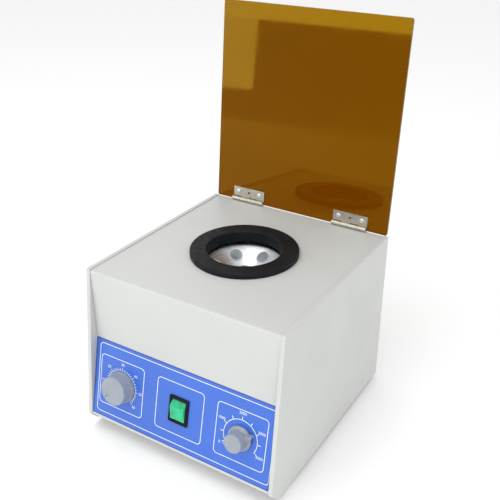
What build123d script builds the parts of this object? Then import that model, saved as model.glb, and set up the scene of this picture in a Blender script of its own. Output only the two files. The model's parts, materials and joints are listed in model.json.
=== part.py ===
"""Small benchtop centrifuge: a folded sheet-steel case with a hinged acrylic lid, an angle rotor
for six tubes on a vertical motor shaft, and a sloping control panel with timer, switch and speed
dial.  Millimetres, +Z up, +Y to the rear.  The case is modelled about its own middle, and every
piece is moved at the end so that the origin is under the middle of the whole object's box, on
the surface that the feet stand on."""
from build123d import *
import math
import os

# ---------------------------------------------------------------- driving dimensions
CASE_WIDTH = 260.0
CASE_DEPTH = 260.0
CASE_HEIGHT = 206.0
FOOT_HEIGHT = 6.0
SHEET = 1.2                      # painted sheet steel
BEND = 2.0                       # outer bend radius of the sheet

FLOOR = FOOT_HEIGHT              # underside of the case
TOP = FOOT_HEIGHT + CASE_HEIGHT  # upper face of the top plate
HALF_W = CASE_WIDTH / 2
HALF_D = CASE_DEPTH / 2
INNER_W = HALF_W - SHEET

CREASE_HEIGHT = 118.0            # above the case's underside
CREASE_SETBACK = 1.0
PANEL_TILT = 11.7                # control panel, degrees from upright
PANEL_BOTTOM = 14.5
RIM_WIDTH = 5.0                  # front and top rims of the side panels
RIM_RETURN = 14.0                # depth of the lip behind a front rim
SEAM = 0.3                       # gap between neighbouring sheets
CHEEK_NOSE = 151.0
CHEEK_NOSE_HEIGHT = 15.0
CHEEK_TOE = 138.0
TOE_SETBACK = 118.0              # front of the base plate

LABEL_HEIGHT = 100.0
LABEL_THICKNESS = 0.4
LABEL_CENTRE_DROP = 50.7         # from the crease, down the slope
TIMER_X = -83.0
SWITCH_X = 1.0
SPEED_X = 83.0
DIAL_DROP = 1.8                  # dial centres below the label's centre
SWITCH_DROP = 0.7
TIMER_ZERO = 135.0               # marks of the knobs at rest, turned left from straight up
SPEED_ZERO = 120.0
SPINDLE_RADIUS = 3.0             # spindles of the two knobs
SPINDLE_SEAT = 11.0              # how far they reach into the knobs
TIMER_BUSH = 5.0
SPEED_BUSH = 3.5
BUSH_TOP = 4.6
SWITCH_CUTOUT = (22.0, 28.0)
BEZEL = (26.5, 33.0)
WELL = (19.6, 26.0)              # opening that the rocker tilts in
ROCKER_AXIS = -1.5               # height of its trunnions above the panel
TRUNNION_RADIUS = 1.2

OPENING_RADIUS = 48.0            # hole in the top plate
RING_OUTER = 65.2
RING_INNER = 44.9
RING_HEIGHT = 6.4
RING_DEPTH = 7.5

LID_WIDTH = 254.0
LID_THICKNESS = 3.0
LID_TAIL = 2.5                   # lid below the hinge axis
LID_REACH = 261.0                # lid above the hinge axis
LID_LEAN = 4.9                   # open lid, degrees behind upright
HINGE_X = 76.0
HINGE_WIDTH = 48.0
HINGE_LEAF = 16.2
LEAF = 1.2
KNUCKLE_RADIUS = 2.9
PIN_RADIUS = 1.5
RUNNING_GAP = 0.05
AXIS_Y = HALF_D - 1.9
AXIS_Z = TOP + KNUCKLE_RADIUS + 0.2
AXIS_LEAF = HALF_D - AXIS_Y      # rear face of the case, behind the hinge axis
LID_OFFSET = 3.6                 # inner face of the lid behind the hinge axis
SCREW_SPREAD = 16.5
SCREW_RISE = 10.0

TUBE_TILT = 30.0
TUBE_COUNT = 6
TUBE_CIRCLE = 34.4               # tube mouths, radius from the rotor axis
TUBE_MOUTH_Z = TOP - 20.0
HOLE_RADIUS = 8.75
HOLE_LENGTH = 84.0               # straight part, above the round bottom
SLEEVE_INNER = 7.9
ROTOR_TURN = 21.0                # how far the rotor stands turned at rest
ROTOR_FOOT = 104.0
HUB_FLOOR = 180.0
SHAFT_RADIUS = 4.0

BOWL_RADIUS = 108.0
BOWL_FLOOR = 97.0
BOWL_WALL = 1.0
POST_CIRCLE = 95.0

MOTOR_RADIUS = 44.0
MOTOR_FLANGE_Z = 22.0
MOTOR_TOP_Z = 84.0
BEARING_RADIUS = 11.0
BEARING_HEIGHT = 7.0
STACK = (38.0, 68.0)             # heights of the motor's iron
COMMUTATOR = (25.0, 33.0)
DAMPER_CIRCLE = 52.0

M3 = 1.5
M3_HOLE = 1.6
M4 = 2.0
M4_HOLE = 2.15

INLET = (-70.0, 52.0)            # places on the rear panel, across and up
FUSE = (-24.0, 52.0)
FUSE_RADIUS = 6.0
REAR_SCREW_HEIGHTS = (40.0, 110.0, 190.0)
BASE_SCREW_DEPTHS = (-90.0, 10.0, 100.0)
FLANGE = 12.0
FLANGE_MID = INNER_W - FLANGE / 2
FEET = [(x, y) for x in (-105.0, 105.0) for y in (-88.0, 105.0)]
BOARD_X = (64.0, 118.0)
BOARD_Y = (-54.0, 50.0)
BOARD_Z = 16.0
BOARD_THICKNESS = 1.6

parts = {}
m3_nuts = []
m4_nuts = []


# ---------------------------------------------------------------- helpers
def cylinder(radius, low, high, x=0.0, y=0.0):
    """An upright cylinder from height low to height high."""
    return Pos(x, y, (low + high) / 2) * Cylinder(radius, high - low)


def tube(outer, inner, low, high, x=0.0, y=0.0):
    """An upright ring between two radii."""
    return cylinder(outer, low, high, x, y) - cylinder(inner, low - 1, high + 1, x, y)


def block(x_range, y_range, z_range):
    """A box given by its three ranges."""
    size = [high - low for low, high in (x_range, y_range, z_range)]
    centre = [(low + high) / 2 for low, high in (x_range, y_range, z_range)]
    return Pos(*centre) * Box(*size)


def turned(points):
    """A solid turned about Z from a closed outline of (radius, height) points."""
    return revolve(Plane.XZ * make_face(Polyline(*points, close=True)), Axis.Z)


def around(shape, count, start=0.0):
    """Copies of a shape spaced evenly about Z."""
    return [Rot(0, 0, start + 360.0 / count * index) * shape for index in range(count)]


def shifted(points, distance):
    """An open outline moved to its left by a distance, with mitred corners."""
    count = len(points)
    normals = []
    for (ax, ay), (bx, by) in zip(points, points[1:]):
        length = math.hypot(bx - ax, by - ay)
        normals.append((-(by - ay) / length, (bx - ax) / length))
    moved = []
    for index, (px, py) in enumerate(points):
        before = normals[max(index - 1, 0)]
        after = normals[min(index, count - 2)]
        scale = distance / (1 + before[0] * after[0] + before[1] * after[1])
        moved.append((px + (before[0] + after[0]) * scale, py + (before[1] + after[1]) * scale))
    return moved


def bend_radii(points, outer):
    """Corner radii of a sheet's skin: the full bend radius outside a bend, the small one inside."""
    radii = []
    for a, b, c in zip(points, points[1:], points[2:]):
        turn = (b[0] - a[0]) * (c[1] - b[1]) - (b[1] - a[1]) * (c[0] - b[0])
        radii.append(BEND if (turn > 0) == outer else BEND - SHEET)
    return [0.0] + radii + [0.0]


def bent_sheet(points, x_range):
    """A folded sheet: an open (y, z) outline of its outer skin, thickened to its left."""
    inner = shifted(points, SHEET)
    skin = FilletPolyline(*points, radius=bend_radii(points, True)[1:-1])
    lining = FilletPolyline(*inner, radius=bend_radii(points, False)[1:-1])
    ends = [Line(points[0], inner[0]), Line(points[-1], inner[-1])]
    section = make_face([*skin.edges(), *lining.edges(), *ends])
    width = x_range[1] - x_range[0]
    return Pos(x_range[0], 0, 0) * extrude(Plane.YZ * section, width)


def pan_screw(shank, length, head_scale=2.0):
    """A pan-head cross-slot screw, head above z = 0 and shank below it."""
    head = shank * head_scale
    rise = shank * 1.1
    body = cylinder(head, 0, rise)
    body = fillet(body.edges().group_by(Axis.Z)[-1], rise * 0.6)
    slot_depth = rise * 0.6
    for angle in (45, 135):
        slot = block((-head * 0.6, head * 0.6), (-shank * 0.18, shank * 0.18),
                     (rise - slot_depth, rise + 1))
        body -= Rot(0, 0, angle) * slot
    return body + cylinder(shank, -length, 0)


def hex_nut(bore, thickness):
    """A hexagon nut standing on z = 0."""
    blank = extrude(RegularPolygon(bore * 1.95, 6), thickness)
    return blank - cylinder(bore, -1, thickness + 1)


def aim(point, direction):
    """The place that carries local +Z to a direction at a point."""
    return Plane(origin=point, z_dir=direction).location


def panel_point(x, drop):
    """A place on the control panel's outer face, drop measured from the label's centre."""
    slope = LABEL_CENTRE_DROP + drop
    tilt = math.radians(PANEL_TILT)
    y = -HALF_D + CREASE_SETBACK - slope * math.sin(tilt)
    z = FLOOR + CREASE_HEIGHT - slope * math.cos(tilt)
    return (x, y, z)


def on_panel(x, drop):
    """Local frame on the panel: X to the right, Y up the slope, Z out of the face."""
    tilt = math.radians(PANEL_TILT)
    out = (0, -math.cos(tilt), math.sin(tilt))
    return Plane(origin=panel_point(x, drop), x_dir=(1, 0, 0), z_dir=out).location


TIMER = on_panel(TIMER_X, DIAL_DROP)
SPEED = on_panel(SPEED_X, DIAL_DROP)
SWITCH = on_panel(SWITCH_X, SWITCH_DROP)


def panel_openings(depth):
    """The three holes through the control panel, as solids to cut away."""
    through = [
        TIMER * cylinder(TIMER_BUSH + 0.2, -depth, depth),
        SPEED * cylinder(SPEED_BUSH + 0.2, -depth, depth),
        SWITCH * Box(SWITCH_CUTOUT[0] + 0.4, SWITCH_CUTOUT[1] + 0.4, 2 * depth),
    ]
    return through


# ---------------------------------------------------------------- case
def top_front_shell():
    """Top plate, front face and control panel, folded from one sheet."""
    tilt = math.tan(math.radians(PANEL_TILT))
    crease = (-HALF_D + CREASE_SETBACK, FLOOR + CREASE_HEIGHT)
    drop = CREASE_HEIGHT - PANEL_BOTTOM
    foot = (crease[0] - drop * tilt, FLOOR + PANEL_BOTTOM)
    outline = [(HALF_D, TOP), (-HALF_D, TOP), crease, foot, (-TOE_SETBACK, foot[1])]
    half = HALF_W - RIM_WIDTH - SEAM
    shell = bent_sheet(outline, (-half, half))
    under_rim = INNER_W - SEAM
    shell += block((-under_rim, under_rim), (-HALF_D + SHEET + SEAM, HALF_D), (TOP - SHEET, TOP))
    shell -= cylinder(OPENING_RADIUS, TOP - 5, TOP + 5)
    for cut in panel_openings(6):
        shell -= cut
    return shell


def side_panel():
    """Right-hand side panel: front rim with a lip behind it, top rim lapped over the top plate,
    and flanges at the rear and bottom."""
    top = TOP + SHEET
    front = (-HALF_D, top)
    nose = (-CHEEK_NOSE, FLOOR + CHEEK_NOSE_HEIGHT)
    outline = [(HALF_D, FLOOR), (HALF_D, top), front, nose, (-CHEEK_TOE, FLOOR)]
    panel = extrude(Plane.YZ * make_face(Polyline(*outline, close=True)), SHEET)
    panel = Pos(INNER_W, 0, 0) * panel
    inner = shifted([front, nose], SHEET)
    rim_face = make_face(Polyline(front, nose, inner[1], inner[0], close=True))
    rim = extrude(Plane.YZ * rim_face, RIM_WIDTH - SHEET)
    panel += Pos(HALF_W - RIM_WIDTH, 0, 0) * rim
    deep = shifted([front, nose], RIM_RETURN)
    lip_face = make_face(Polyline(front, nose, deep[1], deep[0], close=True))
    lip = Pos(HALF_W - RIM_WIDTH, 0, 0) * extrude(Plane.YZ * lip_face, SHEET)
    panel += lip - block((0, HALF_W), (-HALF_D + SHEET, 0), (TOP - SHEET, top + 1))
    panel += block((HALF_W - RIM_WIDTH, INNER_W), (-HALF_D, HALF_D), (TOP, top))
    rear_low = HALF_D - 2 * SHEET
    panel += block((INNER_W - FLANGE, INNER_W), (rear_low, rear_low + SHEET),
                   (FLOOR + SHEET, TOP - SHEET))
    panel += block((INNER_W - FLANGE, INNER_W), (-TOE_SETBACK + SHEET, rear_low + SHEET),
                   (FLOOR + SHEET, FLOOR + 2 * SHEET))
    for height in REAR_SCREW_HEIGHTS:
        panel -= aim((FLANGE_MID, rear_low, height), (0, 1, 0)) * Cylinder(M3_HOLE, 6)
    for depth in BASE_SCREW_DEPTHS:
        panel -= cylinder(M3_HOLE, FLOOR, FLOOR + 5, FLANGE_MID, depth)
    return panel


def rear_panel():
    """Flat rear panel with two banks of vents and the holes for the mains inlet and fuse."""
    panel = block((-INNER_W, INNER_W), (HALF_D - SHEET, HALF_D), (FLOOR + SHEET, TOP - SHEET))
    slot_height = 46.0
    for bank in (-1, 1):
        for index in range(7):
            x = bank * 60 + (index - 3) * 9.0
            slot = extrude(Plane.XZ * SlotOverall(slot_height, 3.2, rotation=90), 12, both=True)
            panel -= Pos(x, HALF_D, 140) * slot
    panel -= Pos(INLET[0], HALF_D, INLET[1]) * Box(28.0, 6, 20.6)
    for side in (-1, 1):
        spot = (INLET[0] + side * 20, HALF_D, INLET[1])
        panel -= aim(spot, (0, 1, 0)) * Cylinder(M3_HOLE, 6)
    panel -= aim((FUSE[0], HALF_D, FUSE[1]), (0, 1, 0)) * Cylinder(FUSE_RADIUS + 0.1, 6)
    for x in (-FLANGE_MID, FLANGE_MID):
        for height in REAR_SCREW_HEIGHTS:
            panel -= aim((x, HALF_D, height), (0, 1, 0)) * Cylinder(M3_HOLE, 6)
    for centre in (-HINGE_X, HINGE_X):
        for side in (-1, 1):
            spot = (centre + side * SCREW_SPREAD, HALF_D, AXIS_Z - SCREW_RISE)
            panel -= aim(spot, (0, 1, 0)) * Cylinder(M3_HOLE, 6)
    return panel


def base_plate():
    """Base plate with a raised front edge, air slots and the holes for feet, motor and posts."""
    plate = block((-INNER_W, INNER_W), (-TOE_SETBACK, HALF_D), (FLOOR, FLOOR + SHEET))
    lip_top = FLOOR + PANEL_BOTTOM - SHEET
    plate += block((-INNER_W, INNER_W), (-TOE_SETBACK, -TOE_SETBACK + SHEET), (FLOOR, lip_top))
    for side in (-1, 1):
        for index in range(6):
            slot = extrude(SlotOverall(40, 4), 6, both=True)
            plate -= Pos(side * 32, 72 + index * 8, FLOOR) * slot
    for x, y in FEET:
        plate -= cylinder(M4_HOLE, FLOOR - 2, FLOOR + 4, x, y)
    for x in (-FLANGE_MID, FLANGE_MID):
        for depth in BASE_SCREW_DEPTHS:
            plate -= cylinder(M3_HOLE, FLOOR - 2, FLOOR + 4, x, depth)
    for hole in around(cylinder(M4_HOLE, FLOOR - 2, FLOOR + 4, DAMPER_CIRCLE), 4, 45):
        plate -= hole
    for hole in around(cylinder(M4_HOLE, FLOOR - 2, FLOOR + 4, POST_CIRCLE), 4, 45):
        plate -= hole
    return plate


def rubber_foot():
    """Turned rubber foot with a pocket for its screw head."""
    outline = [(M4_HOLE, 2.6), (5.2, 2.6), (5.2, 0.0), (7.6, 0.0), (8.2, 0.6), (9.0, FLOOR),
               (M4_HOLE, FLOOR)]
    return turned(outline)


def case():
    """Shells, feet and the screws that hold them together."""
    right = side_panel()
    parts["top_front_shell"] = top_front_shell()
    parts["right_side_panel"] = right
    parts["left_side_panel"] = mirror(right, about=Plane.YZ)
    parts["rear_panel"] = rear_panel()
    parts["base_plate"] = base_plate()
    parts["rubber_feet"] = [Pos(x, y, 0) * rubber_foot() for x, y in FEET]
    foot_screw = Rot(180, 0, 0) * pan_screw(M4, 10)
    parts["foot_screws"] = [Pos(x, y, 2.6) * foot_screw for x, y in FEET]
    m4_nuts.extend(Pos(x, y, FLOOR + SHEET) * hex_nut(M4, 3.2) for x, y in FEET)
    screw = pan_screw(M3, 6)
    panel_screws = []
    for x in (-FLANGE_MID, FLANGE_MID):
        for height in REAR_SCREW_HEIGHTS:
            panel_screws.append(aim((x, HALF_D, height), (0, 1, 0)) * screw)
        for depth in BASE_SCREW_DEPTHS:
            panel_screws.append(aim((x, depth, FLOOR), (0, 0, -1)) * screw)
    parts["case_screws"] = panel_screws


def opening_ring():
    """Thick rubber collar that grips the edge of the round opening."""
    under = TOP - SHEET
    foot = TOP - RING_DEPTH
    top = TOP + RING_HEIGHT
    outline = [(RING_INNER, foot), (RING_INNER + 2.6, foot), (52.0, under - 3.4), (52.0, under),
               (OPENING_RADIUS, under), (OPENING_RADIUS, TOP), (RING_OUTER, TOP),
               (RING_OUTER, top), (RING_INNER, top)]
    ring = turned(outline)
    upper_edges = ring.edges().filter_by(GeomType.CIRCLE).group_by(Axis.Z)[-1]
    return fillet(upper_edges, 1.4)


def control_label():
    """Thin plastic label that covers the control panel between the rims."""
    width = CASE_WIDTH - 2 * RIM_WIDTH - 1.6
    sheet = extrude(RectangleRounded(width, LABEL_HEIGHT, 1.0), LABEL_THICKNESS)
    label = on_panel(0, 0) * sheet
    for cut in panel_openings(6):
        label -= cut
    return label


# ---------------------------------------------------------------- lid and hinges
LID_FRAME = Location((0, AXIS_Y, AXIS_Z)) * Rot(-LID_LEAN, 0, 0)


def lid():
    """Flat acrylic sheet, modelled upright behind the hinge axis."""
    height = LID_TAIL + LID_REACH
    sheet = extrude(Plane.XZ * RectangleRounded(LID_WIDTH, height, 3.0), -LID_THICKNESS)
    sheet = Pos(0, LID_OFFSET, height / 2 - LID_TAIL) * sheet
    for centre in (-HINGE_X, HINGE_X):
        for side in (-1, 1):
            spot = (centre + side * SCREW_SPREAD, LID_OFFSET, SCREW_RISE)
            sheet -= aim(spot, (0, 1, 0)) * Cylinder(M3_HOLE, 10)
    return LID_FRAME * sheet


def hinge_leaf(moving):
    """One leaf with two of the four knuckles.  Axis along X through the origin, leaf upwards."""
    far = LID_OFFSET if moving else AXIS_LEAF + LEAF
    slab = block((-HINGE_WIDTH / 2, HINGE_WIDTH / 2), (far - LEAF, far), (0, HINGE_LEAF))
    quarter = HINGE_WIDTH / 4
    gap = 0.15
    clear = KNUCKLE_RADIUS + 0.3
    bore = PIN_RADIUS + (RUNNING_GAP if moving else 0.0)
    knuckles = None
    for index in range(4):
        low = -HINGE_WIDTH / 2 + quarter * index
        if (index % 2 == 0) == moving:
            slab -= block((low - gap, low + quarter + gap), (-10, 10), (-1, clear))
        else:
            barrel = Rot(0, 90, 0) * Cylinder(KNUCKLE_RADIUS, quarter - 2 * gap)
            barrel = Pos(low + quarter / 2, 0, 0) * barrel
            knuckles = barrel if knuckles is None else knuckles + barrel
    leaf = slab + knuckles
    leaf -= Rot(0, 90, 0) * Cylinder(bore, HINGE_WIDTH + 2)
    for x in (-SCREW_SPREAD, 0, SCREW_SPREAD):
        leaf -= aim((x, far, SCREW_RISE), (0, 1, 0)) * Cylinder(M3_HOLE, 8)
    return leaf


def dome_nut():
    """Black dome nut on a broad washer, standing on z = 0."""
    washer = cylinder(5.4, 0, 1.2)
    dome = cylinder(4.7, 1.2, 6.2)
    dome = fillet(dome.edges().group_by(Axis.Z)[-1], 1.6)
    return washer + dome - cylinder(M3, -1, 3.0)


def hinges_and_lid():
    """Lid, two butt hinges and their screws."""
    parts["lid"] = lid()
    moving = hinge_leaf(True)
    fixed = mirror(hinge_leaf(False), about=Plane.XY)
    centres = (-HINGE_X, HINGE_X)
    parts["hinge_moving_leaves"] = [LID_FRAME * Pos(x, 0, 0) * moving for x in centres]
    parts["hinge_fixed_leaves"] = [Pos(x, AXIS_Y, AXIS_Z) * fixed for x in centres]
    pin = Rot(0, 90, 0) * Cylinder(PIN_RADIUS, HINGE_WIDTH + 0.8)
    parts["hinge_pins"] = [Pos(x, AXIS_Y, AXIS_Z) * pin for x in centres]
    lid_screws = []
    lid_nuts = []
    rear_screws = []
    front_of_leaf = LID_OFFSET - LEAF
    back_of_lid = LID_OFFSET + LID_THICKNESS
    for x in centres:
        for side in (-1, 1):
            screw_x = x + side * SCREW_SPREAD
            place = LID_FRAME * aim((screw_x, front_of_leaf, SCREW_RISE), (0, -1, 0))
            lid_screws.append(place * pan_screw(M3, LEAF + LID_THICKNESS + 2.6))
            nut_place = LID_FRAME * aim((screw_x, back_of_lid, SCREW_RISE), (0, 1, 0))
            lid_nuts.append(nut_place * dome_nut())
            height = AXIS_Z - SCREW_RISE
            rear_screws.append(aim((screw_x, HALF_D + LEAF, height), (0, 1, 0)) * pan_screw(M3, 7))
            m3_nuts.append(aim((screw_x, HALF_D - SHEET, height), (0, -1, 0)) * hex_nut(M3, 2.4))
    parts["lid_screws"] = lid_screws
    parts["lid_nuts"] = lid_nuts
    parts["hinge_screws"] = rear_screws


# ---------------------------------------------------------------- rotor
TUBE_TOP = Location((TUBE_CIRCLE, 0, TUBE_MOUTH_Z)) * Rot(0, -TUBE_TILT, 0)


def angle_rotor():
    """Cast aluminium rotor: a dish on top, square to the tubes, and a hollow underside.  The casting
    is kept as equal sectors that meet face to face, one for each tube hole."""
    tilt = math.radians(TUBE_TILT)
    slope = math.tan(tilt)
    wall_out = HOLE_RADIUS + 7.0
    wall_in = HOLE_RADIUS + 4.0
    rim = (TUBE_CIRCLE + wall_out * math.cos(tilt), TUBE_MOUTH_Z + wall_out * math.sin(tilt))
    skirt_top = ROTOR_FOOT + 8.0
    skirt_radius = rim[0] + (rim[1] - skirt_top) * slope
    inner_start = (TUBE_CIRCLE - wall_in * math.cos(tilt), TUBE_MOUTH_Z - wall_in * math.sin(tilt))
    inner_foot = inner_start[0] + (inner_start[1] - ROTOR_FOOT) * slope
    web = HUB_FLOOR - 12.0
    inner_web = inner_start[0] + (inner_start[1] - web) * slope
    dish_floor = TUBE_CIRCLE - (TUBE_MOUTH_Z - HUB_FLOOR) / slope
    hub = 15.0
    hub_foot = 128.0
    outline = [(0, HUB_FLOOR), (dish_floor, HUB_FLOOR), rim, (skirt_radius, skirt_top),
               (skirt_radius, ROTOR_FOOT), (inner_foot, ROTOR_FOOT), (inner_web, web), (hub, web),
               (hub, hub_foot), (0, hub_foot)]
    rotor = turned(outline)
    rim_edge = rotor.edges().filter_by(GeomType.CIRCLE).group_by(Axis.Z)[-1]
    rotor = fillet(rim_edge, 2.0)
    rotor -= cylinder(SHAFT_RADIUS, ROTOR_FOOT, HUB_FLOOR + 1)
    bore = cylinder(HOLE_RADIUS, -HOLE_LENGTH, 12) + Pos(0, 0, -HOLE_LENGTH) * Sphere(HOLE_RADIUS)
    reach = 2 * skirt_radius
    half_turn = math.pi / TUBE_COUNT
    corner = (reach * math.cos(half_turn), reach * math.sin(half_turn))
    wedge = Polyline((0, 0), (corner[0], -corner[1]), corner, close=True)
    sector = rotor & extrude(make_face(wedge), TOP) - TUBE_TOP * bore
    return around(sector, TUBE_COUNT, ROTOR_TURN)


def tube_sleeve():
    """Plastic liner of one tube hole, with a round bottom and a small collar above the dish."""
    outer = HOLE_RADIUS - 0.05
    collar_top = 0.9
    skin = cylinder(outer, -HOLE_LENGTH, collar_top) + Pos(0, 0, -HOLE_LENGTH) * Sphere(outer)
    hollow = cylinder(SLEEVE_INNER, -HOLE_LENGTH, 3)
    hollow += Pos(0, 0, -HOLE_LENGTH) * Sphere(SLEEVE_INNER)
    return TUBE_TOP * (skin - hollow)


def rotor_nut():
    """Knurled hand nut that holds the rotor on the shaft."""
    low = HUB_FLOOR
    body = cylinder(9.5, low, low + 10)
    body = chamfer(body.edges().group_by(Axis.Z)[-1], 0.8)
    groove = cylinder(0.7, low + 1.5, low + 11, 9.7)
    for cut in around(groove, 24):
        body -= cut
    return body - cylinder(SHAFT_RADIUS, low - 1, low + 8)


def rotor_group():
    """Everything that spins."""
    parts["angle_rotor"] = angle_rotor()
    parts["tube_sleeves"] = around(tube_sleeve(), TUBE_COUNT, ROTOR_TURN)
    parts["rotor_nut"] = rotor_nut()
    parts["motor_shaft"] = cylinder(SHAFT_RADIUS, MOTOR_FLANGE_Z - 6, HUB_FLOOR + 8)
    low, high = STACK
    core = tube(28.0, SHAFT_RADIUS, low, high)
    slot = block((21, 29), (-1.6, 1.6), (low - 1, high + 1)) + cylinder(2.6, low - 1, high + 1, 22)
    for cut in around(slot, 12):
        core -= cut
    parts["armature_core"] = core
    upper = turned([(9, high), (25, high), (25, high + 4), (20, high + 8), (9, high + 8)])
    lower = turned([(9, low), (25, low), (25, low - 2), (20, low - 3.4), (9, low - 3.4)])
    parts["armature_windings"] = [upper, lower]
    low, high = COMMUTATOR
    ring = tube(11.0, SHAFT_RADIUS, low, high)
    for cut in around(block((9.5, 12), (-0.25, 0.25), (low - 1, high + 1)), 24):
        ring -= cut
    parts["commutator"] = ring


# ---------------------------------------------------------------- motor and chamber
def end_bell():
    """Motor end bell standing on z = 0, with its bearing seat in a boss above the plate."""
    plate = 3.0
    boss_top = BEARING_HEIGHT + 1
    bell = cylinder(MOTOR_RADIUS, 0, plate) + cylinder(15.0, 0, boss_top)
    bell -= cylinder(BEARING_RADIUS, -1, BEARING_HEIGHT)
    return bell - cylinder(6.0, 0, boss_top + 1)


def motor_frame():
    """Can, end bells, bearings, iron and coils: everything in the motor that stands still."""
    low = MOTOR_FLANGE_Z
    high = MOTOR_TOP_Z
    plate_top = low + 3
    bottom = Pos(0, 0, plate_top) * Rot(180, 0, 0) * end_bell()
    bottom += tube(60.0, MOTOR_RADIUS - 1, low, plate_top)
    for hole in around(cylinder(M4_HOLE, low - 1, plate_top + 1, DAMPER_CIRCLE), 4, 45):
        bottom -= hole
    parts["motor_bottom_bell"] = bottom
    parts["motor_top_bell"] = Pos(0, 0, high) * end_bell()
    parts["motor_can"] = tube(MOTOR_RADIUS, MOTOR_RADIUS - 2, plate_top, high)
    bore = SHAFT_RADIUS + RUNNING_GAP
    bearing_high = tube(BEARING_RADIUS, bore, high, high + BEARING_HEIGHT)
    bearing_low = tube(BEARING_RADIUS, bore, plate_top - BEARING_HEIGHT, plate_top)
    parts["motor_bearings"] = [bearing_high, bearing_low]
    stack_low, stack_high = STACK
    stack = tube(MOTOR_RADIUS - 2, 29.0, stack_low, stack_high)
    for cut in around(block((-9, 9), (34, 45), (stack_low - 1, stack_high + 1)), 2):
        stack -= cut
    parts["field_stack"] = stack
    coils = []
    for z_low, z_high in ((stack_high, stack_high + 10), (stack_low - 9, stack_low)):
        ring = turned([(31, z_low), (40, z_low), (40, z_high), (31, z_high)])
        coils += [ring & half for half in around(block((8, 60), (-60, 60), (z_low, z_high)), 2)]
    parts["field_coils"] = coils


def motor_fittings():
    """Brushes, and the rubber dampers and bolts that hold the motor to the base."""
    low = MOTOR_FLANGE_Z
    brush = block((11.3, 24), (-2.5, 2.5), (26.5, 31.5))
    holder = block((16, 30), (-4.5, 4.5), (25, 34)) - block((15, 29), (-2.6, 2.6), (26.4, 31.6))
    holder += block((16, MOTOR_RADIUS - 2.5), (-3, 3), (25, 26.4))
    parts["carbon_brushes"] = around(brush, 2)
    parts["brush_holders"] = around(holder, 2)
    base_top = FLOOR + SHEET
    waist_z = (base_top + low) / 2
    damper = turned([(M4_HOLE, base_top), (8, base_top), (6.8, waist_z), (8, low), (M4_HOLE, low)])
    parts["rubber_dampers"] = around(Pos(DAMPER_CIRCLE, 0, 0) * damper, 4, 45)
    bolt = Rot(180, 0, 0) * pan_screw(M4, low + 8 - FLOOR)
    parts["damper_bolts"] = around(Pos(DAMPER_CIRCLE, 0, FLOOR) * bolt, 4, 45)
    nut = Pos(DAMPER_CIRCLE, 0, low + 3) * hex_nut(M4, 3.2)
    m4_nuts.extend(around(nut, 4, 45))


def chamber():
    """Guard bowl round the rotor, on four posts."""
    rim_z = TOP - SHEET - 3
    outer = BOWL_RADIUS + BOWL_WALL
    floor_top = BOWL_FLOOR + BOWL_WALL
    outline = [(20, BOWL_FLOOR), (outer - 6, BOWL_FLOOR), (outer, BOWL_FLOOR + 6), (outer, rim_z - 1),
               (outer + 5, rim_z - 1), (outer + 5, rim_z), (BOWL_RADIUS, rim_z),
               (BOWL_RADIUS, BOWL_FLOOR + 6.4), (outer - 6.4, floor_top), (20, floor_top)]
    bowl = turned(outline)
    for hole in around(cylinder(M4_HOLE, BOWL_FLOOR - 2, BOWL_FLOOR + 4, POST_CIRCLE), 4, 45):
        bowl -= hole
    parts["chamber_bowl"] = bowl
    hexagon = extrude(RegularPolygon(5.5, 6), BOWL_FLOOR - FLOOR - SHEET)
    post = Pos(POST_CIRCLE, 0, FLOOR + SHEET) * hexagon
    post -= cylinder(M4, FLOOR, FLOOR + 14, POST_CIRCLE)
    post -= cylinder(M4, BOWL_FLOOR - 12, BOWL_FLOOR + 1, POST_CIRCLE)
    parts["bowl_posts"] = around(post, 4, 45)
    upper = Pos(POST_CIRCLE, 0, floor_top) * pan_screw(M4, 9)
    lower = Pos(POST_CIRCLE, 0, FLOOR) * Rot(180, 0, 0) * pan_screw(M4, 9)
    parts["post_screws"] = around(upper, 4, 45) + around(lower, 4, 45)


# ---------------------------------------------------------------- control panel fittings
def knurled(radius_low, radius_high, low, high, count, depth):
    """A slightly tapered grip with grooves along it."""
    body = turned([(0, low), (radius_low, low), (radius_high, high), (0, high)])
    lean = math.degrees(math.atan2(radius_low - radius_high, high - low))
    middle = ((radius_low + radius_high) / 2 + depth * 0.4, 0, (low + high) / 2)
    groove = Location(middle) * Rot(0, -lean, 0) * Cylinder(depth, (high - low) * 1.2)
    groove &= block((0, 100), (-50, 50), (low + 1.2, high + 5))
    for cut in around(groove, count):
        body -= cut
    return body


def timer_knob():
    """Large round knob with a finely ribbed skirt and a shallow dished face."""
    skirt = knurled(19.6, 19.0, 1.0, 5.0, 48, 0.55)
    grip = turned([(0, 4), (18.4, 4), (17.2, 16.4), (0, 16.4)])
    grip = fillet(grip.edges().filter_by(GeomType.CIRCLE).group_by(Axis.Z)[-1], 1.2)
    knob = skirt + grip
    knob -= Pos(0, 0, 16.4 + 120) * Sphere(120.6)
    knob -= block((-0.5, 0.5), (8, 20), (15.4, 18))
    return knob - cylinder(3.0, 0, 11)


def speed_knob():
    """Pointer knob: round skirt, a winged bar across it and a smooth cap."""
    skirt = turned([(0, 1), (14.4, 1), (14.4, 3.2), (12.6, 5.4), (0, 5.4)])
    bar = block((-3.4, 3.4), (-19.5, 19.5), (1.6, 7.6))
    taper = Plane.XY.offset(1) * Polygon((3.4, -12), (3.4, 12), (1.0, 19.5), (-1.0, 19.5), (-3.4, 12),
                                         (-3.4, -12), (-1.0, -19.5), (1.0, -19.5), align=None)
    bar &= extrude(taper, 12)
    cap = turned([(0, 3), (11.4, 3), (10.8, 17.2), (0, 17.2)])
    cap = fillet(cap.edges().filter_by(GeomType.CIRCLE).group_by(Axis.Z)[-1], 1.3)
    return skirt + bar + cap - cylinder(3.0, 0, 12)


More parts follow.
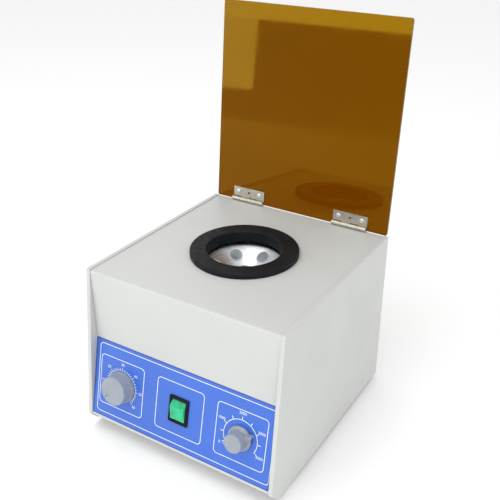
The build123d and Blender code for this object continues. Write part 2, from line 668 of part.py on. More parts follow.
def control_group():
    """Timer, speed control and power switch."""
    back = -SHEET
    bore = SPINDLE_RADIUS + RUNNING_GAP
    clockwork = Pos(0, 0, back - 15) * Box(42, 42, 30)
    clockwork = chamfer(clockwork.edges().filter_by(Axis.Z), 5)
    body = clockwork + cylinder(TIMER_BUSH, back, BUSH_TOP) - cylinder(bore, back - 20, 6)
    parts["timer_body"] = TIMER * body
    parts["timer_shaft"] = TIMER * cylinder(SPINDLE_RADIUS, back - 19, SPINDLE_SEAT)
    knob = timer_knob() - cylinder(2 * TIMER_BUSH + 0.4, 0.5, 5.5)
    parts["timer_knob"] = TIMER * Rot(0, 0, TIMER_ZERO) * knob
    parts["timer_nut"] = TIMER * Pos(0, 0, LABEL_THICKNESS) * hex_nut(TIMER_BUSH, 2.0)

    pot = cylinder(12.0, back - 11, back) + block((-9, 9), (-20, -8), (back - 4, back - 2.4))
    pot += cylinder(SPEED_BUSH, back, BUSH_TOP)
    pot -= cylinder(bore, back - 8, 6)
    parts["speed_control_body"] = SPEED * pot
    parts["speed_shaft"] = SPEED * cylinder(SPINDLE_RADIUS, back - 7, SPINDLE_SEAT + 1)
    knob = speed_knob() - cylinder(2 * SPEED_BUSH + 1, 0.5, 5.2)
    parts["speed_knob"] = SPEED * Rot(0, 0, SPEED_ZERO) * knob
    parts["speed_nut"] = SPEED * Pos(0, 0, LABEL_THICKNESS) * hex_nut(SPEED_BUSH, 2.0)

    parts["switch_housing"] = SWITCH * switch_housing()
    parts["power_rocker"] = SWITCH * Pos(0, 0, ROCKER_AXIS) * rocker()


def switch_housing():
    """Switch body with its bezel and the open well that the rocker tilts in."""
    bezel = extrude(RectangleRounded(BEZEL[0], BEZEL[1], 1.6), 2.2)
    bezel = chamfer(bezel.edges().group_by(Axis.Z)[-1], 0.7)
    bezel = Pos(0, 0, LABEL_THICKNESS) * bezel
    body = Pos(0, 0, -11) * Box(SWITCH_CUTOUT[0], SWITCH_CUTOUT[1], 23)
    housing = bezel + body
    housing -= Pos(0, 0, -3) * Box(WELL[0], WELL[1], 12)
    socket = Rot(0, 90, 0) * Cylinder(TRUNNION_RADIUS + RUNNING_GAP, WELL[0] + 1.6)
    housing -= Pos(0, 0, ROCKER_AXIS) * socket
    for x in (-6, 0, 6):
        housing += block((x - 0.4, x + 0.4), (-3, 3), (-31, -22.4))
    return housing


def rocker():
    """Peaked rocker pressed in at its upper end: a short steep wing above the peak, a long face
    below it, and two stub trunnions.  Its outline is (up the panel, out of the panel)."""
    face = [(11.9, 2.0), (4.6, 7.2), (-11.6, 4.2)]
    belly = [(-11.0, -2.5), (-4.0, -5.0), (4.0, -5.0), (11.2, -1.5)]
    section = Plane.YZ * make_face(Polyline(*face, *belly, close=True))
    body = extrude(section, (WELL[0] - 0.7) / 2, both=True)
    peak = body.edges().filter_by(Axis.X).group_by(Axis.Z)[-1]
    body = fillet(peak, 0.8)
    return body + Rot(0, 90, 0) * Cylinder(TRUNNION_RADIUS, WELL[0] + 1.2)


# ---------------------------------------------------------------- electrics
def control_board():
    """Speed control board on four standoffs, with its heat sink and larger components."""
    x_low, x_high = BOARD_X
    y_low, y_high = BOARD_Y
    deck = BOARD_Z + BOARD_THICKNESS
    board = block(BOARD_X, BOARD_Y, (BOARD_Z, deck))
    corners = [(x, y) for x in (x_low + 5, x_high - 5) for y in (y_low + 5, y_high - 5)]
    for x, y in corners:
        board -= cylinder(M3_HOLE, BOARD_Z - 1, deck + 1, x, y)
    parts["control_board"] = board
    parts["board_standoffs"] = [tube(3.5, M3, FLOOR + SHEET, BOARD_Z, x, y) for x, y in corners]
    parts["board_screws"] = [Pos(x, y, deck) * pan_screw(M3, 6) for x, y in corners]
    sink = block((x_low + 8, x_low + 34), (-2, 1), (deck, deck + 36))
    for index in range(6):
        fin = x_low + 8 + index * 4.9
        sink += block((fin, fin + 1.5), (1, 13), (deck, deck + 36))
    parts["heat_sink"] = sink
    triac = block((x_low + 15, x_low + 25), (-6.5, -2), (deck + 8, deck + 23))
    transformer = block((x_low + 10, x_low + 42), (-44, -18), (deck, deck + 26))
    capacitor = cylinder(6.5, deck, deck + 22, x_low + 45, -9)
    terminals = block((x_low + 12, x_low + 46), (y_high - 16, y_high - 5), (deck, deck + 12))
    parts["board_components"] = [triac, transformer, capacitor, terminals]


def mains_inlet():
    """Three-pole inlet with a keyed mouth, three blades and two screws."""
    x, z = INLET
    flange = block((x - 24, x + 24), (HALF_D, HALF_D + 2.4), (z - 11.5, z + 11.5))
    flange = fillet(flange.edges().filter_by(Axis.Y), 3)
    inlet = flange + block((x - 13.8, x + 13.8), (HALF_D - 18, HALF_D), (z - 10.1, z + 10.1))
    mouth = block((x - 12.2, x + 12.2), (HALF_D - 14, HALF_D + 4), (z - 8.2, z + 8.2))
    mouth = chamfer(mouth.edges().filter_by(Axis.Y).group_by(Axis.Z)[-1], 4.5)
    inlet -= mouth
    for side in (-1, 1):
        inlet -= aim((x + side * 20, HALF_D, z), (0, 1, 0)) * Cylinder(M3_HOLE, 8)
    blades = []
    for dx, dz in ((-7, -1.5), (0, 2.5), (7, -1.5)):
        blade = block((x + dx - 1, x + dx + 1), (HALF_D - 26, HALF_D - 4), (z + dz - 2, z + dz + 2))
        blades.append(blade)
        inlet -= blade
    parts["mains_inlet"] = inlet
    parts["inlet_blades"] = blades
    screws = []
    for side in (-1, 1):
        screws.append(aim((x + side * 20, HALF_D + 2.4, z), (0, 1, 0)) * pan_screw(M3, 9))
        m3_nuts.append(aim((x + side * 20, HALF_D - SHEET, z), (0, -1, 0)) * hex_nut(M3, 2.4))
    parts["inlet_screws"] = screws


def fuse():
    """Screw-cap fuse holder in the rear panel."""
    rear = aim((FUSE[0], HALF_D, FUSE[1]), (0, 1, 0))
    holder = cylinder(8.0, 0, 2) + cylinder(FUSE_RADIUS, -28, 0) - cylinder(4.6, -26, 3)
    parts["fuse_holder"] = rear * holder
    cap = cylinder(6.8, 2, 8)
    cap = chamfer(cap.edges().group_by(Axis.Z)[-1], 0.8)
    for cut in around(cylinder(0.6, 2.6, 9, 6.9), 20):
        cap -= cut
    cap -= block((-5, 5), (-0.6, 0.6), (6.8, 9))
    parts["fuse_cap"] = rear * (cap + cylinder(4.4, -8, 2))
    parts["fuse_link"] = rear * cylinder(2.5, -25, -8)


# ---------------------------------------------------------------- assembly and export
def solids_of(piece):
    """A piece as a list of solids, whether it is one shape or a group."""
    group = piece if isinstance(piece, list) else [piece]
    return [solid for shape in group for solid in shape.solids()]


def main():
    case()
    parts["opening_ring"] = opening_ring()
    parts["control_label"] = control_label()
    hinges_and_lid()
    rotor_group()
    motor_frame()
    motor_fittings()
    chamber()
    control_group()
    control_board()
    mains_inlet()
    fuse()
    parts["m3_nuts"] = m3_nuts
    parts["m4_nuts"] = m4_nuts
    os.makedirs("parts", exist_ok=True)
    whole = Compound(children=[Compound(children=solids_of(piece)) for piece in parts.values()])
    box = whole.bounding_box()
    shift = -(box.min.Y + box.max.Y) / 2
    for name, piece in parts.items():
        placed = [Pos(0, shift, 0) * solid for solid in solids_of(piece)]
        shape = placed[0] if len(placed) == 1 else Compound(children=placed)
        export_step(shape, f"parts/{name}.step")
    print("origin shift along Y:", round(shift, 6), "nodes:", len(parts))


main()
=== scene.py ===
"""Looks for the small benchtop centrifuge: camera, light, printed panel and a finish for every
piece.  Metres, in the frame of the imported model."""
import bmesh
import bpy
import json
import math
from mathutils import Matrix, Vector


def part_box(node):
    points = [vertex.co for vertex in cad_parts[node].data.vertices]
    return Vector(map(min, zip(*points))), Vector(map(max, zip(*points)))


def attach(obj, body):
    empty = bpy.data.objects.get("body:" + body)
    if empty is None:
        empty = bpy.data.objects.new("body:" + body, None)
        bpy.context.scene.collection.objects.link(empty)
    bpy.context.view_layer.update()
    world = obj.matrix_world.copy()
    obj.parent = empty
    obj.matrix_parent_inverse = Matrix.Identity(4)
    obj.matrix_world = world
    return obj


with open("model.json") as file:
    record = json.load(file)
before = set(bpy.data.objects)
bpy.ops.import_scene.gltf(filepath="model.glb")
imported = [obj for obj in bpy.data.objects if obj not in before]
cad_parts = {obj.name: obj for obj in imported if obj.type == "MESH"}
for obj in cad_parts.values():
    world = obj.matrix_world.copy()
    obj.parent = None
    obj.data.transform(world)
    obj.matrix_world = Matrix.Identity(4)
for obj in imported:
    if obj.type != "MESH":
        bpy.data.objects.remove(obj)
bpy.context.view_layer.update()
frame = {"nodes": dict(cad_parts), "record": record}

MM = 0.001

# ---------------------------------------------------------------- camera
CAMERA_PLACE = Vector((0.4124, -0.6495, 0.6130))
CAMERA_AZIMUTH = 30.64           # degrees to the right of straight on
CAMERA_ELEVATION = 25.77
CAMERA_ROLL = 0.69
CAMERA_LENS = 52.44
CAMERA_SHIFT = (-0.0288, -0.0387)

# ---------------------------------------------------------------- light
WORLD_STRENGTH = 0.92
CASE_MIDDLE = (0, 0, 0.15)
NEAR_CORNER = (0.13, -0.12, 0.1)
FRONT_HEIGHT = 0.56
LEFT_HEIGHT = 0.265
SOFT_BOXES = [                   # name, place, target, width, height, watts
    ("soft_box_above", (-0.3, -0.5, 1.9), CASE_MIDDLE, 1.6, 1.6, 12),
    ("soft_box_front", (-1.10, -1.76, FRONT_HEIGHT), (0, 0.14, FRONT_HEIGHT), 1.6, 0.3, 5.3),
    ("soft_box_left", (-1.39, -1.57, LEFT_HEIGHT), (0, 0.14, LEFT_HEIGHT), 0.5, 0.29, 1.3),
    ("soft_box_right", (0.75, -1.0, 0.45), NEAR_CORNER, 0.5, 0.5, 2.0),
]
FLOOR_REACH = 6.0

# ---------------------------------------------------------------- sizes taken from the CAD
LID_LEAN = 4.9                   # degrees behind upright, as packed
PANEL_TILT = 11.7                # degrees from upright
LABEL_THICKNESS = 0.4 * MM

# ---------------------------------------------------------------- print
INK = 0.05 * MM                  # how far print stands out of the label
LINE = 0.80 * MM
FINE_LINE = 0.60 * MM
BORDER_LINE = 1.0 * MM
BORDER_INSET = 0.6 * MM
BORDER_RADIUS = 1.0 * MM
FRAME_RADIUS = 4.5 * MM
FRAME_STEPS = 6                  # straight pieces in each rounded corner
FRAME_INSET = 6.3 * MM           # outer frame from the label's left and lower edges
FRAME_INSET_RIGHT = 0.9 * MM
FRAME_INSET_TOP = 5.0 * MM
CONTROL_HALF_WIDTH = 32.0 * MM   # frame round each control
CONTROL_LOW = -31.7 * MM
CONTROL_HIGH = 31.2 * MM

TIMER_START = -135.0             # degrees clockwise from straight up
TIMER_SWEEP = 270.0
TIMER_MINUTES = 60
TIMER_ARC_STEPS = 60
TIMER_ARC = 20.8 * MM
TIMER_TICK = 23.2 * MM           # outer end of a tick
TIMER_LONG_TICK = 24.6 * MM
TIMER_NUMBERS = 28.0 * MM
TIMER_NUMBER_SIZE = 5.0 * MM

SPEED_START = -120.0
SPEED_SWEEP = 240.0
TOP_SPEED = 4000                 # turns a minute
SPEED_ARC_STEPS = 48
SPEED_ARC = 21.4 * MM
SPEED_TICK = 25.6 * MM
SPEED_NUMBERS = 29.4 * MM
SPEED_NUMBER_SIZE = 4.8 * MM


# ---------------------------------------------------------------- camera, light and floor
def make_camera():
    """The camera, aimed by its azimuth, elevation and roll."""
    azimuth = math.radians(CAMERA_AZIMUTH)
    elevation = math.radians(CAMERA_ELEVATION)
    roll = math.radians(CAMERA_ROLL)
    back = Vector((math.sin(azimuth) * math.cos(elevation),
                   -math.cos(azimuth) * math.cos(elevation),
                   math.sin(elevation)))
    level = Vector((0, 0, 1)).cross(back).normalized()
    upright = back.cross(level)
    right = level * math.cos(roll) + upright * math.sin(roll)
    up = upright * math.cos(roll) - level * math.sin(roll)
    data = bpy.data.cameras.new("camera")
    data.lens = CAMERA_LENS
    data.shift_x, data.shift_y = CAMERA_SHIFT
    camera = bpy.data.objects.new("camera", data)
    turn = Matrix((right, up, back)).transposed().to_4x4()
    camera.matrix_world = Matrix.Translation(CAMERA_PLACE) @ turn
    bpy.context.scene.collection.objects.link(camera)
    bpy.context.scene.camera = camera


def area_light(name, place, target, width, height, power):
    """A white soft box at a place, facing a target."""
    data = bpy.data.lights.new(name, "AREA")
    data.shape = "RECTANGLE"
    data.size = width
    data.size_y = height
    data.energy = power
    light = bpy.data.objects.new(name, data)
    light.location = place
    light.rotation_euler = (Vector(target) - Vector(place)).to_track_quat("-Z", "Y").to_euler()
    bpy.context.scene.collection.objects.link(light)


def make_light():
    """White surroundings and the soft boxes; the lid mirrors the front and left ones."""
    world = bpy.data.worlds.new("studio")
    bpy.context.scene.world = world
    world.use_nodes = True
    background = world.node_tree.nodes["Background"]
    background.inputs["Color"].default_value = (1.0, 1.0, 1.0, 1.0)
    background.inputs["Strength"].default_value = WORLD_STRENGTH
    for box in SOFT_BOXES:
        area_light(*box)
    bpy.context.scene.view_settings.view_transform = "Standard"


def make_floor():
    """A plain pale floor."""
    mesh = bpy.data.meshes.new("floor")
    reach = FLOOR_REACH
    corners = [(-reach, -reach, 0), (reach, -reach, 0), (reach, reach, 0), (-reach, reach, 0)]
    mesh.from_pydata(corners, [], [(0, 1, 2, 3)])
    floor = bpy.data.objects.new("floor", mesh)
    bpy.context.scene.collection.objects.link(floor)
    shader = new_material("floor_paper")[1]
    shader.inputs["Base Color"].default_value = (0.97, 0.97, 0.97, 1)
    shader.inputs["Roughness"].default_value = 0.9
    mesh.materials.append(look("floor_paper"))


# ---------------------------------------------------------------- material helpers
def new_material(name):
    """An empty node material and its Principled shader."""
    material = bpy.data.materials.new(name + "_look")
    material.use_nodes = True
    return material.node_tree, material.node_tree.nodes["Principled BSDF"]


def look(name):
    """The finish made for a material slot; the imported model's own flat one has the bare name."""
    return bpy.data.materials[name + "_look"]


def add(tree, kind, **values):
    """A node with its properties set."""
    node = tree.nodes.new(kind)
    for key, value in values.items():
        setattr(node, key, value)
    return node


def noise(tree, scale, detail=3.0, stretch=(1, 1, 1)):
    """Noise over the piece's own coordinates, as a value from 0 to 1; scale is per metre."""
    coords = add(tree, "ShaderNodeTexCoord")
    mapping = add(tree, "ShaderNodeMapping")
    mapping.inputs["Scale"].default_value = stretch
    texture = add(tree, "ShaderNodeTexNoise")
    texture.inputs["Scale"].default_value = scale
    texture.inputs["Detail"].default_value = detail
    tree.links.new(coords.outputs["Object"], mapping.inputs["Vector"])
    tree.links.new(mapping.outputs["Vector"], texture.inputs["Vector"])
    return texture.outputs["Fac"]


def rings(tree, centre, scale):
    """Noise that only changes with distance from an upright axis, as turning on a lathe leaves."""
    coords = add(tree, "ShaderNodeTexCoord")
    offset = add(tree, "ShaderNodeVectorMath", operation="SUBTRACT")
    offset.inputs[1].default_value = centre
    flat = add(tree, "ShaderNodeVectorMath", operation="MULTIPLY")
    flat.inputs[1].default_value = (1, 1, 0)
    length = add(tree, "ShaderNodeVectorMath", operation="LENGTH")
    texture = add(tree, "ShaderNodeTexNoise", noise_dimensions="1D")
    texture.inputs["Scale"].default_value = scale
    texture.inputs["Detail"].default_value = 2.0
    tree.links.new(coords.outputs["Object"], offset.inputs[0])
    tree.links.new(offset.outputs[0], flat.inputs[0])
    tree.links.new(flat.outputs[0], length.inputs[0])
    tree.links.new(length.outputs["Value"], texture.inputs["W"])
    return texture.outputs["Fac"]


def spread(tree, source, low, high, start=0.3, end=0.7):
    """A value carried from start..end to low..high."""
    node = add(tree, "ShaderNodeMapRange")
    node.inputs["From Min"].default_value = start
    node.inputs["From Max"].default_value = end
    node.inputs["To Min"].default_value = low
    node.inputs["To Max"].default_value = high
    tree.links.new(source, node.inputs["Value"])
    return node.outputs["Result"]


def blend_colours(tree, source, first, second):
    """A colour between two, chosen by a value from 0 to 1."""
    node = add(tree, "ShaderNodeMix", data_type="RGBA")
    node.inputs["A"].default_value = (*first, 1)
    node.inputs["B"].default_value = (*second, 1)
    tree.links.new(source, node.inputs["Factor"])
    return node.outputs["Result"]


def mix_in(tree, factor, colour_socket, colour):
    """A colour socket taken towards one colour by a value."""
    node = add(tree, "ShaderNodeMix", data_type="RGBA")
    node.inputs["B"].default_value = (*colour, 1)
    tree.links.new(factor, node.inputs["Factor"])
    tree.links.new(colour_socket, node.inputs["A"])
    return node.outputs["Result"]


def edges(tree, radius):
    """1 on edges and corners of a piece, 0 on its flats."""
    rounded = add(tree, "ShaderNodeBevel", samples=4)
    rounded.inputs["Radius"].default_value = radius
    plain = add(tree, "ShaderNodeNewGeometry")
    dot = add(tree, "ShaderNodeVectorMath", operation="DOT_PRODUCT")
    tree.links.new(rounded.outputs["Normal"], dot.inputs[0])
    tree.links.new(plain.outputs["Normal"], dot.inputs[1])
    return spread(tree, dot.outputs["Value"], 1.0, 0.0, 0.75, 0.98)


def bump(tree, shader, height, depth, strength=1.0, rounding=None):
    """Drives the shader's normal with a height from 0 to 1; depth is how deep 1 stands, in metres."""
    node = add(tree, "ShaderNodeBump")
    node.inputs["Distance"].default_value = depth
    node.inputs["Strength"].default_value = strength
    tree.links.new(height, node.inputs["Height"])
    if rounding:
        soft = add(tree, "ShaderNodeBevel", samples=4)
        soft.inputs["Radius"].default_value = rounding
        tree.links.new(soft.outputs["Normal"], node.inputs["Normal"])
    tree.links.new(node.outputs["Normal"], shader.inputs["Normal"])


def shade(colour, factor):
    """A colour made lighter or darker."""
    return tuple(min(1.0, channel * factor) for channel in colour)


def surface(name, colour, roughness, mottle=0.08, mottle_scale=25.0, grain_scale=1800.0,
            grain_depth=0.03 * MM, rounding=0.3 * MM, edge_wear_and_highlight=None):
    """A plain finish with mottled colour, uneven gloss, fine grain and, if asked, edges taken towards
    a paler colour: real wear on some finishes, a painted highlight on others.
    """
    tree, shader = new_material(name)
    patches = noise(tree, mottle_scale, 5.0)
    tint = blend_colours(tree, spread(tree, patches, 0, 1), shade(colour, 1 - mottle),
                         shade(colour, 1 + mottle))
    # Edges go towards the given colour: real wear on some finishes, a painted highlight on others.
    if edge_wear_and_highlight:
        broken = noise(tree, 220.0, 4.0)
        mask = add(tree, "ShaderNodeMath", operation="MULTIPLY")
        tree.links.new(edges(tree, 0.5 * MM), mask.inputs[0])
        tree.links.new(spread(tree, broken, 0.1, 1.0, 0.4, 0.6), mask.inputs[1])
        tint = mix_in(tree, mask.outputs[0], tint, edge_wear_and_highlight)
    tree.links.new(tint, shader.inputs["Base Color"])
    uneven = spread(tree, noise(tree, mottle_scale * 3, 4.0), roughness * 0.8, roughness * 1.25)
    tree.links.new(uneven, shader.inputs["Roughness"])
    bump(tree, shader, noise(tree, grain_scale, 2.0), grain_depth, rounding=rounding)
    return shader


# ---------------------------------------------------------------- finishes
def case_paint():
    """Light grey powder coat, with a painted highlight making its edges a little brighter."""
    # The paler edge colour is a painted highlight on the bent edges of the sheet.
    surface("case_paint", (0.555, 0.567, 0.550), 0.4, mottle=0.025, mottle_scale=9.0,
            grain_scale=1400.0, grain_depth=0.04 * MM, rounding=0.6 * MM, edge_wear_and_highlight=(0.70, 0.71, 0.69))


def black_rubber():
    """Black rubber with a dusty bloom."""
    shader = surface("black_rubber", (0.007, 0.008, 0.010), 0.5, mottle=0.45, mottle_scale=40.0,
                     grain_scale=900.0, grain_depth=0.08 * MM, rounding=1.0 * MM)
    shader.inputs["Specular IOR Level"].default_value = 0.16


def panel_label():
    """Glossy blue overlay, a little darker in patches."""
    shader = surface("panel_label", (0.037, 0.135, 0.58), 0.32, mottle=0.07, mottle_scale=7.0,
                     grain_scale=2600.0, grain_depth=0.015 * MM)
    shader.inputs["Coat Weight"].default_value = 0.15
    shader.inputs["Coat Roughness"].default_value = 0.25


def print_white():
    """Pale screen ink."""
    surface("print_white", (0.86, 0.92, 1.0), 0.5, mottle=0.06, mottle_scale=160.0)


def print_navy():
    """Dark blue screen ink of the label's border."""
    surface("print_navy", (0.02, 0.05, 0.32), 0.45, mottle=0.12, mottle_scale=120.0)


def amber_acrylic():
    """Amber acrylic sheet: tinted through, smudged, and with a painted glow along its cut edges."""
    tree, shader = new_material("amber_acrylic")
    body = (0.175, 0.046, 0.0002)
    # Painted glow: the colour given to the cut edges, brighter than the sheet.
    painted_edge_glow = (0.80, 0.45, 0.02)
    coords = add(tree, "ShaderNodeTexCoord")
    across = add(tree, "ShaderNodeVectorMath", operation="DOT_PRODUCT")
    lean = math.radians(LID_LEAN)
    across.inputs[1].default_value = (0, math.cos(lean), -math.sin(lean))
    tree.links.new(coords.outputs["Normal"], across.inputs[0])
    flatness = add(tree, "ShaderNodeMath", operation="ABSOLUTE")
    tree.links.new(across.outputs["Value"], flatness.inputs[0])
    edge_glow_mask = spread(tree, flatness.outputs[0], 1.0, 0.0, 0.5, 0.9)
    smudge = spread(tree, noise(tree, 14.0, 5.0), 0, 1)
    tint = blend_colours(tree, smudge, shade(body, 0.97), shade(body, 1.03))
    # The cut edges are painted with the brighter glow colour.
    tint = mix_in(tree, edge_glow_mask, tint, painted_edge_glow)
    tree.links.new(tint, shader.inputs["Base Color"])
    gloss = spread(tree, noise(tree, 45.0, 5.0), 0.02, 0.06)
    tree.links.new(gloss, shader.inputs["Roughness"])
    bump(tree, shader, noise(tree, 9.0, 1.0), 0.05 * MM, 0.3)
    shader.inputs["Transmission Weight"].default_value = 0.85
    shader.inputs["IOR"].default_value = 1.49
    shader.inputs["Specular IOR Level"].default_value = 1.0
    shader.inputs["Specular Tint"].default_value = (1.0, 0.74, 0.03, 1)


def metal(name, colour, roughness, stretch=(1, 1, 1), depth=0.015 * MM, mottle=0.1,
          mottle_scale=60.0):
    """A metal with lines along one direction, tarnish patches and uneven polish."""
    tree, shader = new_material(name)
    patches = noise(tree, mottle_scale, 5.0)
    lines = noise(tree, 900.0, 3.0, stretch)
    tint = blend_colours(tree, spread(tree, patches, 0, 1), shade(colour, 1 - mottle),
                         shade(colour, 1 + mottle))
    tree.links.new(tint, shader.inputs["Base Color"])
    tree.links.new(spread(tree, lines, roughness * 0.75, roughness * 1.3),
                   shader.inputs["Roughness"])
    shader.inputs["Metallic"].default_value = 1.0
    bump(tree, shader, lines, depth, rounding=0.25 * MM)
    return tree, shader


def hinge_steel():
    """Nickel-plated sheet, drawn lengthwise."""
    metal("hinge_steel", (0.47, 0.45, 0.38), 0.33, stretch=(0.05, 1, 1), mottle=0.14,
          mottle_scale=220.0)


def screw_steel():
    """Bright zinc plating."""
    metal("screw_steel", (0.82, 0.82, 0.83), 0.22, mottle=0.08, mottle_scale=400.0)


def rotor_aluminium():
    """Bright turned aluminium: fine lathe rings, clouding and small pits."""
    tree, shader = new_material("rotor_aluminium")
    low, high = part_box("motor_shaft")
    axis = ((low[0] + high[0]) / 2, (low[1] + high[1]) / 2, 0)
    turning = rings(tree, axis, 900.0)
    clouds = noise(tree, 60.0, 5.0)
    tint = blend_colours(tree, spread(tree, clouds, 0, 1), (0.50, 0.52, 0.55), (0.72, 0.73, 0.75))
    pits = spread(tree, noise(tree, 1100.0, 2.0), 0.0, 1.0, 0.66, 0.72)
    tint = mix_in(tree, pits, tint, (0.45, 0.46, 0.48))
    tree.links.new(tint, shader.inputs["Base Color"])
    tree.links.new(spread(tree, turning, 0.22, 0.42), shader.inputs["Roughness"])
    shader.inputs["Metallic"].default_value = 0.85
    bump(tree, shader, turning, 0.02 * MM, rounding=0.4 * MM)


def bowl_steel():
    """Spun sheet steel."""
    tree, shader = metal("bowl_steel", (0.66, 0.66, 0.68), 0.34, stretch=(1, 1, 8))
    low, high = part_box("chamber_bowl")
    axis = ((low[0] + high[0]) / 2, (low[1] + high[1]) / 2, 0)
    bump(tree, shader, rings(tree, axis, 500.0), 0.03 * MM)


def shaft_steel():
    """Ground steel."""
    metal("shaft_steel", (0.56, 0.56, 0.58), 0.25, stretch=(1, 1, 6))


def lamination_steel():
    """Dark stacked laminations, edge on."""
    metal("lamination_steel", (0.20, 0.20, 0.22), 0.5, stretch=(0.05, 0.05, 2.5),
          depth=0.12 * MM)


def copper_wire():
    """Enamelled copper, wound in strands."""
    metal("copper_wire", (0.78, 0.36, 0.14), 0.32, stretch=(0.3, 0.3, 2.0), depth=0.15 * MM)


def brass_plate():
    """Plated brass contacts."""
    metal("brass_plate", (0.80, 0.66, 0.36), 0.28)


def motor_paint():
    """Grey motor enamel, chipped on its edges."""
    surface("motor_paint", (0.20, 0.22, 0.24), 0.42, mottle=0.12, mottle_scale=30.0,
            grain_scale=700.0, grain_depth=0.08 * MM, edge_wear_and_highlight=(0.42, 0.42, 0.43))


def black_plastic():
    """Moulded black plastic with a fine spark texture, greyed on its edges."""
    shader = surface("black_plastic", (0.006, 0.006, 0.009), 0.38, mottle=0.3, mottle_scale=70.0,
                     grain_scale=2500.0, grain_depth=0.04 * MM, edge_wear_and_highlight=(0.03, 0.03, 0.034))
    shader.inputs["Specular IOR Level"].default_value = 0.14


def sleeve_plastic():
    """Pale grey moulded liner."""
    surface("sleeve_plastic", (0.86, 0.90, 0.95), 0.5, mottle=0.12, mottle_scale=80.0)


def carbon():
    """Pressed carbon."""
    surface("carbon", (0.03, 0.03, 0.033), 0.6, mottle=0.3, mottle_scale=300.0)


def knob_grey():
    """Cool grey satin plastic, paler where fingers have rubbed it."""
    surface("knob_grey", (0.29, 0.32, 0.37), 0.34, mottle=0.07, mottle_scale=45.0,
            grain_scale=2200.0, grain_depth=0.03 * MM, edge_wear_and_highlight=(0.62, 0.63, 0.63))


def rocker_green():
    """Green lamp lens with light in it and a painted highlight on its edges."""
    # The pale green edge colour is a painted highlight on the lens.
    shader = surface("rocker_green", (0.015, 0.52, 0.24), 0.2, mottle=0.3, mottle_scale=130.0,
                     grain_scale=500.0, grain_depth=0.05 * MM, edge_wear_and_highlight=(0.35, 0.95, 0.6))
    shader.inputs["Transmission Weight"].default_value = 0.25
    shader.inputs["Subsurface Weight"].default_value = 0.3
    shader.inputs["Emission Color"].default_value = (0.02, 0.5, 0.2, 1)
    shader.inputs["Emission Strength"].default_value = 0.12
    shader.inputs["Subsurface Scale"].default_value = 2 * MM


def board_green():
    """Mottled green solder mask."""
    surface("board_green", (0.02, 0.16, 0.06), 0.35, mottle=0.2, mottle_scale=90.0)


def fuse_glass():
    """Clear glass with a slight haze."""
    tree, shader = new_material("fuse_glass")
    haze = spread(tree, noise(tree, 300.0, 3.0), 0.02, 0.12)
    tree.links.new(haze, shader.inputs["Roughness"])
    shader.inputs["Transmission Weight"].default_value = 1.0
    bump(tree, shader, noise(tree, 400.0, 2.0), 0.01 * MM)


FINISHES = [case_paint, black_rubber, panel_label, print_white, print_navy, amber_acrylic,
            hinge_steel, screw_steel, rotor_aluminium, bowl_steel, shaft_steel, lamination_steel,
            copper_wire, brass_plate, motor_paint, black_plastic, sleeve_plastic, carbon,
            knob_grey, rocker_green, board_green, fuse_glass]


# ---------------------------------------------------------------- printed panel
def panel_axes():
    """The panel's frame: origin at the middle of the label's outer face, X right, Y up the slope."""
    low, high = (Vector(corner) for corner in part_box("control_label"))
    tilt = math.radians(PANEL_TILT)
    up = Vector((0, math.sin(tilt), math.cos(tilt)))
    out = Vector((0, -math.cos(tilt), math.sin(tilt)))
    right = Vector((1, 0, 0))
    turn = Matrix((right, up, out)).transposed().to_4x4()
    height = (high.z - low.z - LABEL_THICKNESS * math.sin(tilt)) / math.cos(tilt)
    width = high.x - low.x
    middle = (low + high) / 2 + out * LABEL_THICKNESS / 2
    return Matrix.Translation(middle) @ turn, width, height


PANEL, LABEL_WIDTH, LABEL_HEIGHT = panel_axes()


def panel_spot(node):
    """Where a node's middle falls on the panel, as (right, up)."""
    low, high = (Vector(corner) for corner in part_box(node))
    local = PANEL.inverted() @ ((low + high) / 2)
    return local.x, local.y


def on_clock(centre, radius, angle):
    """A point round a dial; angle is clockwise from straight up, in degrees."""
    turn = math.radians(angle)
    return (centre[0] + radius * math.sin(turn), centre[1] + radius * math.cos(turn))


def arc(centre, radius, start, end, steps):
    """Points along an arc of a dial."""
    return [on_clock(centre, radius, start + (end - start) * index / steps)
            for index in range(steps + 1)]


def rounded_frame(left, low, right, high, radius):
    """Points round a rectangle with rounded corners."""
    points = arc((right - radius, high - radius), radius, 0, 90, FRAME_STEPS)
    points += arc((right - radius, low + radius), radius, 90, 180, FRAME_STEPS)
    points += arc((left + radius, low + radius), radius, 180, 270, FRAME_STEPS)
    points += arc((left + radius, high - radius), radius, 270, 360, FRAME_STEPS)
    return points


def stroke(bm, points, width, closed=False):
    """Adds a flat line of a given width along points on the panel."""
    count = len(points)
    left = []
    right = []
    for index, (x, y) in enumerate(points):
        before = points[index - 1] if (closed or index > 0) else points[index]
        after = points[(index + 1) % count] if (closed or index < count - 1) else points[index]
        dx = after[0] - before[0]
        dy = after[1] - before[1]
        length = math.hypot(dx, dy)
        offset = Vector((-dy, dx, 0)) / length * width / 2
        left.append(bm.verts.new(Vector((x, y, 0)) + offset))
        right.append(bm.verts.new(Vector((x, y, 0)) - offset))
    last = count if closed else count - 1
    for index in range(last):
        after = (index + 1) % count
        bm.faces.new((right[index], right[after], left[after], left[index]))


def numeral(bm, text, centre, size):
    """Adds a number on the panel, centred on a point."""
    curve = bpy.data.curves.new("numeral", "FONT")
    curve.body = text
    curve.size = size
    curve.resolution_u = 3
    curve.align_x = "CENTER"
    curve.align_y = "CENTER"
    holder = bpy.data.objects.new("numeral", curve)
    mesh = bpy.data.meshes.new_from_object(holder)
    mesh.transform(Matrix.Translation((centre[0], centre[1], 0)))
    bm.from_mesh(mesh)
    bpy.data.objects.remove(holder)
    bpy.data.curves.remove(curve)
    bpy.data.meshes.remove(mesh)


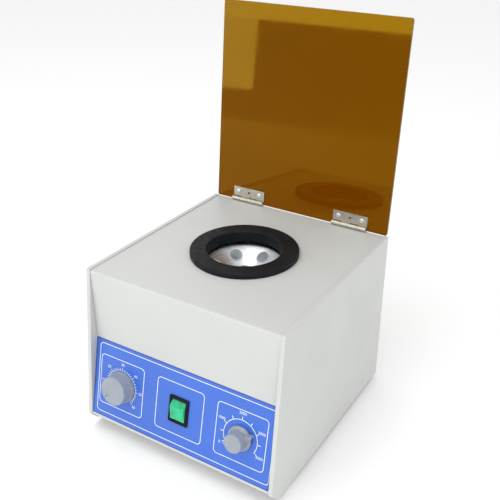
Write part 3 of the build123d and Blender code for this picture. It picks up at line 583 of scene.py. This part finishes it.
def panel_piece(name, bm, material):
    """Gives flat print its thickness, sets it on the label and makes it a piece of the case."""
    bmesh.ops.recalc_face_normals(bm, faces=bm.faces)
    for face in bm.faces:
        if face.normal.z < 0:
            face.normal_flip()
    made = bmesh.ops.extrude_face_region(bm, geom=bm.faces[:])
    raised = [item for item in made["geom"] if isinstance(item, bmesh.types.BMVert)]
    bmesh.ops.translate(bm, verts=raised, vec=(0, 0, INK))
    bmesh.ops.recalc_face_normals(bm, faces=bm.faces)
    mesh = bpy.data.meshes.new(name)
    bm.transform(PANEL)
    bm.to_mesh(mesh)
    bm.free()
    mesh.materials.append(look(material))
    piece = bpy.data.objects.new(name, mesh)
    bpy.context.scene.collection.objects.link(piece)
    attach(piece, "case")


def panel_frames():
    """The frame near the label's edge and one round each control."""
    bm = bmesh.new()
    half_w = LABEL_WIDTH / 2
    half_h = LABEL_HEIGHT / 2
    outer = rounded_frame(-half_w + FRAME_INSET, -half_h + FRAME_INSET,
                          half_w - FRAME_INSET_RIGHT, half_h - FRAME_INSET_TOP, FRAME_RADIUS)
    stroke(bm, outer, LINE, closed=True)
    for node in ("timer_shaft", "power_rocker", "speed_shaft"):
        x = panel_spot(node)[0]
        inner = rounded_frame(x - CONTROL_HALF_WIDTH, CONTROL_LOW, x + CONTROL_HALF_WIDTH,
                              CONTROL_HIGH, FRAME_RADIUS)
        stroke(bm, inner, LINE, closed=True)
    panel_piece("panel_frames", bm, "print_white")


def panel_border():
    """Dark line along the label's edge."""
    bm = bmesh.new()
    half_w = LABEL_WIDTH / 2 - BORDER_INSET
    half_h = LABEL_HEIGHT / 2 - BORDER_INSET
    outline = rounded_frame(-half_w, -half_h, half_w, half_h, BORDER_RADIUS)
    stroke(bm, outline, BORDER_LINE, closed=True)
    panel_piece("panel_border", bm, "print_navy")


def timer_dial():
    """Sixty-minute scale: a tick every two minutes, longer every ten, and numbers."""
    bm = bmesh.new()
    centre = panel_spot("timer_shaft")
    end = TIMER_START + TIMER_SWEEP
    stroke(bm, arc(centre, TIMER_ARC, TIMER_START, end, TIMER_ARC_STEPS), FINE_LINE)
    for minute in range(0, TIMER_MINUTES + 1, 2):
        angle = TIMER_START + TIMER_SWEEP * minute / TIMER_MINUTES
        outer = TIMER_LONG_TICK if minute % 10 == 0 else TIMER_TICK
        tick = [on_clock(centre, TIMER_ARC, angle), on_clock(centre, outer, angle)]
        stroke(bm, tick, FINE_LINE)
    for minute in range(0, TIMER_MINUTES + 1, 10):
        angle = TIMER_START + TIMER_SWEEP * minute / TIMER_MINUTES
        numeral(bm, str(minute), on_clock(centre, TIMER_NUMBERS, angle), TIMER_NUMBER_SIZE)
    panel_piece("timer_dial_print", bm, "print_white")


def speed_dial():
    """Speed scale: an arc with a tick every 500 turns a minute and a number every 1000."""
    bm = bmesh.new()
    centre = panel_spot("speed_shaft")
    end = SPEED_START + SPEED_SWEEP
    stroke(bm, arc(centre, SPEED_ARC, SPEED_START, end, SPEED_ARC_STEPS), LINE)
    for speed in range(0, TOP_SPEED + 1, 500):
        angle = SPEED_START + SPEED_SWEEP * speed / TOP_SPEED
        tick = [on_clock(centre, SPEED_ARC, angle), on_clock(centre, SPEED_TICK, angle)]
        stroke(bm, tick, LINE)
    for speed in range(0, TOP_SPEED + 1, 1000):
        angle = SPEED_START + SPEED_SWEEP * speed / TOP_SPEED
        numeral(bm, str(speed), on_clock(centre, SPEED_NUMBERS, angle), SPEED_NUMBER_SIZE)
    panel_piece("speed_dial_print", bm, "print_white")


# ---------------------------------------------------------------- build
make_camera()
make_light()
make_floor()
for finish in FINISHES:
    finish()
for entry in frame["record"]["subparts"]:
    node = frame["nodes"][entry["node"]]
    node.data.materials.clear()
    node.data.materials.append(look(entry["material_slot"]))
panel_border()
panel_frames()
timer_dial()
speed_dial()
